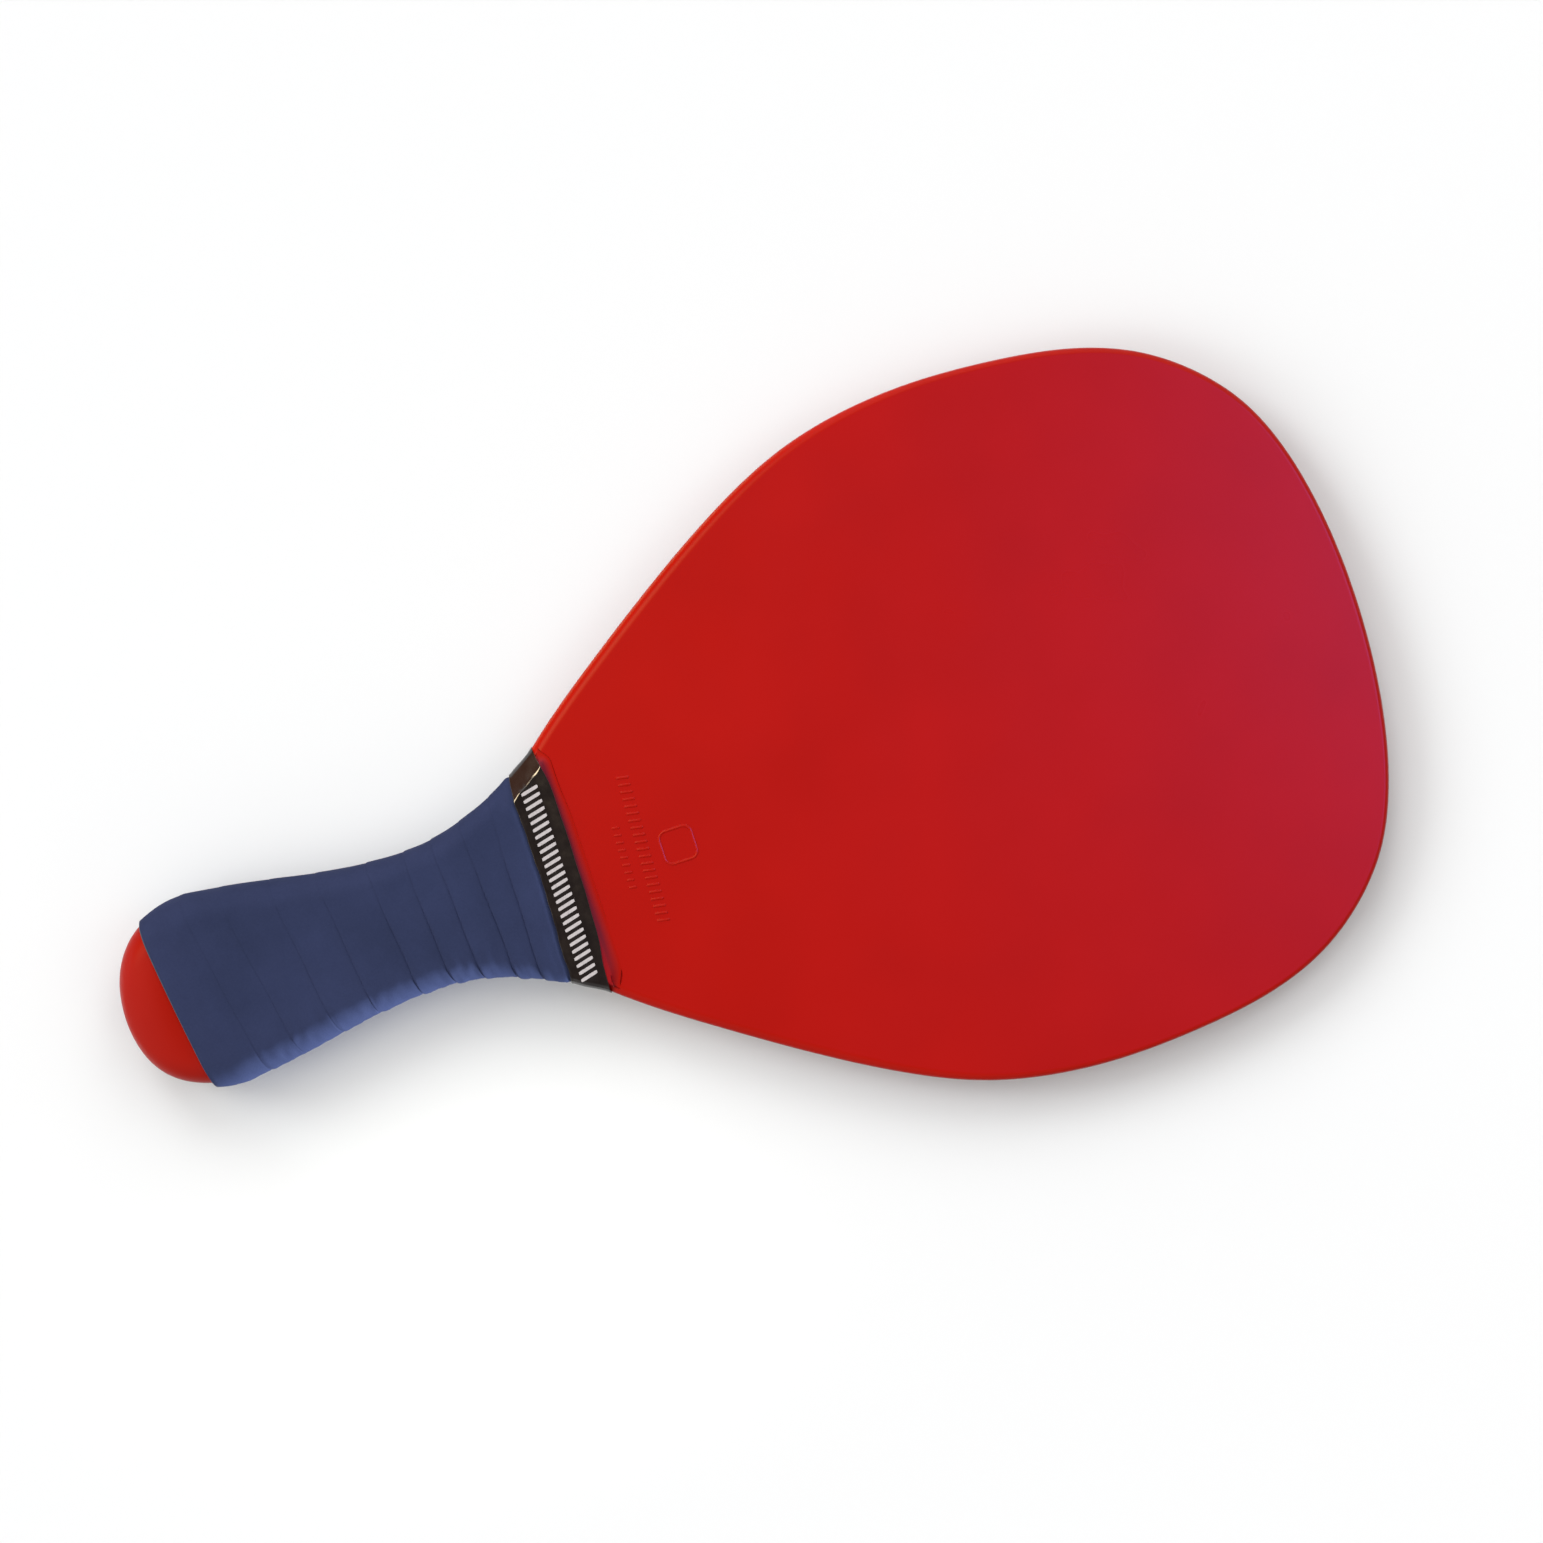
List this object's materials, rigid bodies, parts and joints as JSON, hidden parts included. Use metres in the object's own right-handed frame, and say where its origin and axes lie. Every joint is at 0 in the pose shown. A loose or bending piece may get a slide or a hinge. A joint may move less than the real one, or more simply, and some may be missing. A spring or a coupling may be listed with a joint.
{
  "type": "beach tennis racket",
  "caption": "Solid-faced moulded plastic beach bat with a flat egg-shaped blade, a built-up handle, a wound cushion grip and a finishing band at the neck.",
  "frame": {"origin": "middle of the bounding box's underside: half way along the racket, on its long axis, at the height of the fattest part of the handle's back", "axes": "+X along the racket from the butt to the blade's tip, +Y across it, +Z out of the front face; the blade's mid plane is level, 11.2 mm above the origin"},
  "size_m": [0.42, 0.23, 0.0224],
  "materials": {
    "red_plastic": "satin moulded surface, faintly mottled, with a rounded rim",
    "cap_plastic": "smooth satin moulded dome",
    "dowel_plastic": "plain extruded rod",
    "blue_grip": "soft matt cushion tape, wound in overlapping turns",
    "black_band": "glossy film tape with a plain white printed pattern"
  },
  "bodies": {
    "root": {"racket_blade": "red_plastic", "handle_scale_front": "red_plastic", "handle_scale_back": "red_plastic", "butt_cap": "cap_plastic", "tang_pin_1": "dowel_plastic", "tang_pin_2": "dowel_plastic", "tang_pin_3": "dowel_plastic", "grip_tape": "blue_grip", "finishing_band": "black_band"}
  },
  "joints": []
}
